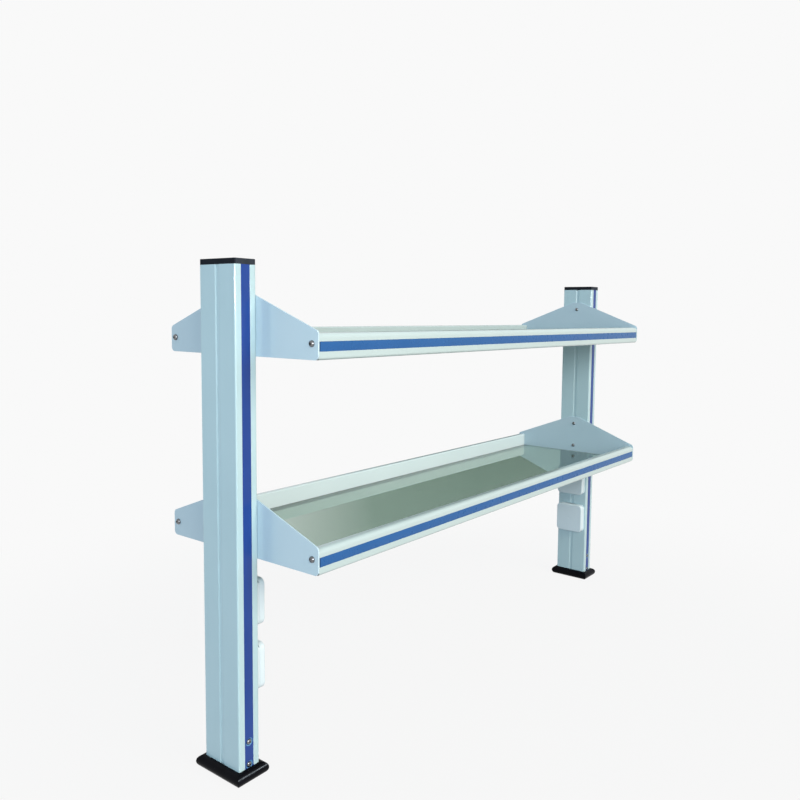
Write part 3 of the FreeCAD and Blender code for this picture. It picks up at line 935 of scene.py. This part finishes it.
def straight_to_eye(tree):
    """1 where a camera, mirror or glass ray arrives straight from the eye."""
    path = tree.nodes.new("ShaderNodeLightPath")
    total = path.outputs["Is Camera Ray"]
    for kind in ("Is Glossy Ray", "Is Transmission Ray"):
        either = tree.nodes.new("ShaderNodeMath")
        either.operation = "MAXIMUM"
        tree.links.new(total, either.inputs[0])
        tree.links.new(path.outputs[kind], either.inputs[1])
        total = either.outputs[0]
    return total


def blended(tree, share, first, second, output):
    """First shader where share is 0 and second where it is 1."""
    mix = tree.nodes.new("ShaderNodeMixShader")
    tree.links.new(share, mix.inputs["Fac"])
    tree.links.new(first.outputs[0], mix.inputs[1])
    tree.links.new(second.outputs[0], mix.inputs[2])
    tree.links.new(mix.outputs[0], output.inputs["Surface"])


def stage_sheet(name, corners, finish):
    """One flat sheet between four corners, for the room about the rack."""
    mesh = bpy.data.meshes.new(name)
    mesh.from_pydata(corners, [], [tuple(range(len(corners)))])
    mesh.materials.append(finish)
    sheet = bpy.data.objects.new(name, mesh)
    bpy.context.scene.collection.objects.link(sheet)
    return sheet


def away_from_rack(tree, distance, near_value):
    """near_value close to the rack, which eases to 1 where the shadow has faded out."""
    ease = tree.nodes.new("ShaderNodeMapRange")
    ease.interpolation_type = "SMOOTHSTEP"
    limits = {"From Min": shadow_reach[0], "From Max": shadow_reach[1],
              "To Min": near_value, "To Max": 1.0}
    for socket, value in limits.items():
        ease.inputs[socket].default_value = value
    tree.links.new(distance.outputs["Value"], ease.inputs["Value"])
    return ease.outputs["Result"]


# The eye sees the paper's own white with a share of the lit, matt paper, which carries the shadow.
# Near the rack the white is raised a little to make up for that share.
paper_finish = bpy.data.materials.new("paper_white")
paper_finish.use_nodes = True
tree = paper_finish.node_tree
tree.nodes.clear()
matt = tree.nodes.new("ShaderNodeBsdfDiffuse")
matt.inputs["Color"].default_value = paper_matt
glow = tree.nodes.new("ShaderNodeEmission")
glow.inputs["Color"].default_value = paper_white
place = tree.nodes.new("ShaderNodeTexCoord")
distance = tree.nodes.new("ShaderNodeVectorMath")
distance.operation = "LENGTH"
tree.links.new(place.outputs["Object"], distance.inputs[0])
tree.links.new(away_from_rack(tree, distance, 1 / paper_white[0]), glow.inputs["Strength"])
share = tree.nodes.new("ShaderNodeMath")
share.operation = "MULTIPLY"
tree.links.new(away_from_rack(tree, distance, 1 - paper_shadow_share), share.inputs[0])
tree.links.new(straight_to_eye(tree), share.inputs[1])
blended(tree, share.outputs[0], matt, glow, tree.nodes.new("ShaderNodeOutputMaterial"))

far = paper_size / 2
paper_corners = [(-far, -far, 0), (far, -far, 0), (far, far, 0), (-far, far, 0)]
paper = stage_sheet("paper", paper_corners, paper_finish)

world = bpy.data.worlds.new("studio")
bpy.context.scene.world = world
world.use_nodes = True
tree = world.node_tree
tree.nodes.clear()
sky = tree.nodes.new("ShaderNodeBackground")
sky.inputs["Color"].default_value = sky_colour
sky.inputs["Strength"].default_value = sky_strength
backdrop = tree.nodes.new("ShaderNodeBackground")
backdrop.inputs["Color"].default_value = paper_white
blended(tree, straight_to_eye(tree), sky, backdrop, tree.nodes.new("ShaderNodeOutputWorld"))

# The dark card stands behind the rack. It is darkest in its middle and fades to the white of the
# backdrop, and the panes and other glossy pieces mirror it. Nothing else sees it.
dusk_feet = ((2.0, 3.6), (4.6, 0.2))
dusk_top = 3.0
dusk_middle = (0.56, 0.42)
dusk_reach = (0.45, 0.65)
dusk_shade = (0.12, 0.13, 0.12, 1)
dusk_shade_share = 0.35
dusk_dark = (0.02, 0.02, 0.02, 1)
dusk_dark_share = 0.75

dusk_finish = bpy.data.materials.new("dusk_card")
dusk_finish.use_nodes = True
tree = dusk_finish.node_tree
tree.nodes.clear()
place = tree.nodes.new("ShaderNodeTexCoord")
mapping = tree.nodes.new("ShaderNodeMapping")
centre_u, centre_v = (-middle / reach for middle, reach in zip(dusk_middle, dusk_reach))
mapping.inputs["Location"].default_value = (centre_u, 0, centre_v)
mapping.inputs["Scale"].default_value = (1 / dusk_reach[0], 0, 1 / dusk_reach[1])
falloff = tree.nodes.new("ShaderNodeTexGradient")
falloff.gradient_type = "SPHERICAL"
ramp = tree.nodes.new("ShaderNodeValToRGB")
ramp.color_ramp.elements[0].color = paper_white
ramp.color_ramp.elements[1].position = dusk_dark_share
ramp.color_ramp.elements[1].color = dusk_dark
ramp.color_ramp.elements.new(dusk_shade_share).color = dusk_shade
glow = tree.nodes.new("ShaderNodeEmission")
output = tree.nodes.new("ShaderNodeOutputMaterial")
tree.links.new(place.outputs["Generated"], mapping.inputs["Vector"])
tree.links.new(mapping.outputs["Vector"], falloff.inputs["Vector"])
tree.links.new(falloff.outputs["Fac"], ramp.inputs["Fac"])
tree.links.new(ramp.outputs["Color"], glow.inputs["Color"])
tree.links.new(glow.outputs[0], output.inputs["Surface"])

near, far = dusk_feet
dusk_corners = [(*near, 0), (*far, 0), (*far, dusk_top), (*near, dusk_top)]
dusk = stage_sheet("dusk", dusk_corners, dusk_finish)
dusk.visible_camera = False
dusk.visible_diffuse = False
dusk.visible_transmission = False
dusk.visible_shadow = False


def soft_lamp(name, place, aim, width, height, power, colour):
    """Area lamp of a power in watts that looks at a point and doesn't show itself."""
    light = bpy.data.lights.new(name, "AREA")
    light.shape = "RECTANGLE"
    light.size = width
    light.size_y = height
    light.energy = power
    light.color = colour
    lamp = bpy.data.objects.new(name, light)
    lamp.location = place
    lamp.rotation_euler = (Vector(aim) - Vector(place)).to_track_quat("-Z", "Y").to_euler()
    lamp.visible_camera = False
    bpy.context.scene.collection.objects.link(lamp)
    return lamp


def finished_with(*finishes):
    """Every piece that has one of these finishes."""
    return [piece for piece in bpy.context.scene.collection.objects if piece.type == "MESH"
            and any(finish.name in piece.data.materials for finish in finishes)]


def keep_to(lamp, pieces, state="INCLUDE"):
    """Link a lamp so that it lights these pieces alone, or with EXCLUDE all but them."""
    lit = bpy.data.collections.new(lamp.name + "_pieces")
    for piece in pieces:
        lit.objects.link(piece)
    for linked in lit.collection_objects:
        linked.light_linking.link_state = state
    lamp.light_linking.receiver_collection = lit


# These three light the whole rack but its panes, where they would leave hard white patches. The
# two large ones don't show in anything glossy either.
front_lamp = soft_lamp(
    "front_lamp", (-0.3, -6.0, 3.3), (0, 0, 0.5), 3.2, 3.2, 372, (1.0, 0.87, 0.69))
left_lamp = soft_lamp(
    "left_lamp", (-5.0, -2.2, 1.5), (0, 0, 0.5), 1.5, 1.5, 60, (0.82, 0.94, 1.0))
side_lamp = soft_lamp(
    "side_lamp", (-2.0, -1.3, 1.14), (-0.6, 0, 0.8), 1.0, 0.5, 10, (0.93, 0.97, 1.0))
for lamp in (front_lamp, left_lamp, side_lamp):
    keep_to(lamp, finished_with(shelf_glass), "EXCLUDE")
for lamp in (front_lamp, left_lamp):
    lamp.visible_glossy = False

# Each of these lights a few pieces alone: glints on the chrome, the black mouldings and the edges
# of the columns, and a little more light on the lower rear rail and the front wings.
chrome_lamp = soft_lamp(
    "chrome_lamp", (-1.7, -2.8, 1.5), (-0.68, 0, 0.5), 1.6, 1.6, 90, (0.96, 0.98, 1.0))
keep_to(chrome_lamp, finished_with(bolt_chrome))
black_lamp = soft_lamp(
    "black_lamp", (0.9, -2.4, 1.1), (-0.68, 0, 0.3), 0.4, 0.8, 90, (0.80, 0.92, 1.0))
keep_to(black_lamp, finished_with(shoe_rubber, cap_plastic))
edge_lamp = soft_lamp(
    "edge_lamp", (-2.1, -1.2, 0.93), (-0.7, 0, 0.86), 0.35, 0.2, 45, (0.96, 0.98, 1.0))
keep_to(edge_lamp, finished_with(column_paint))
edge_lamp.visible_diffuse = False
rail_lamp = soft_lamp(
    "rail_lamp", (0.3, -2.8, 1.7), (0, 0.2, 0.43), 1.2, 0.6, 45, (1.0, 0.93, 1.0))
keep_to(rail_lamp, [bpy.data.objects["lower_rear_rail_extrusion"]])
wing_lamp = soft_lamp(
    "wing_lamp", (-1.1, -0.9, 0.72), (-0.66, -0.12, 0.6), 0.25, 0.6, 3.2, (1.0, 0.89, 0.82))
keep_to(wing_lamp, finished_with(bracket_paint))


# ---- Camera ----
# The camera stands beyond the left end of the rack and in front of it, a little above the upper
# shelf, with a slight dip and roll. Its focal length and optical centre are in pixels of a square
# image 800 wide.
camera_place = (-1.5309, -1.1046, 0.8390)
camera_bearing = math.radians(53.767)
camera_dip = math.radians(4.701)
camera_roll = math.radians(0.772)
camera_far = 200
focal_pixels = 766.4
image_pixels = 800
optical_centre = (448.6, 376.6)

camera_data = bpy.data.cameras.new("camera")
camera_data.lens = focal_pixels * camera_data.sensor_width / image_pixels
camera_data.shift_x = (image_pixels / 2 - optical_centre[0]) / image_pixels
camera_data.shift_y = (optical_centre[1] - image_pixels / 2) / image_pixels
camera_data.clip_end = camera_far
camera = bpy.data.objects.new("camera", camera_data)
bpy.context.scene.collection.objects.link(camera)
bearing = Matrix.Rotation(-camera_bearing, 4, "Z")
dip = Matrix.Rotation(math.pi / 2 - camera_dip, 4, "X")
roll = Matrix.Rotation(camera_roll, 4, "Z")
camera.matrix_world = Matrix.Translation(camera_place) @ bearing @ dip @ roll
bpy.context.scene.camera = camera

bpy.context.scene.view_settings.view_transform = "Standard"
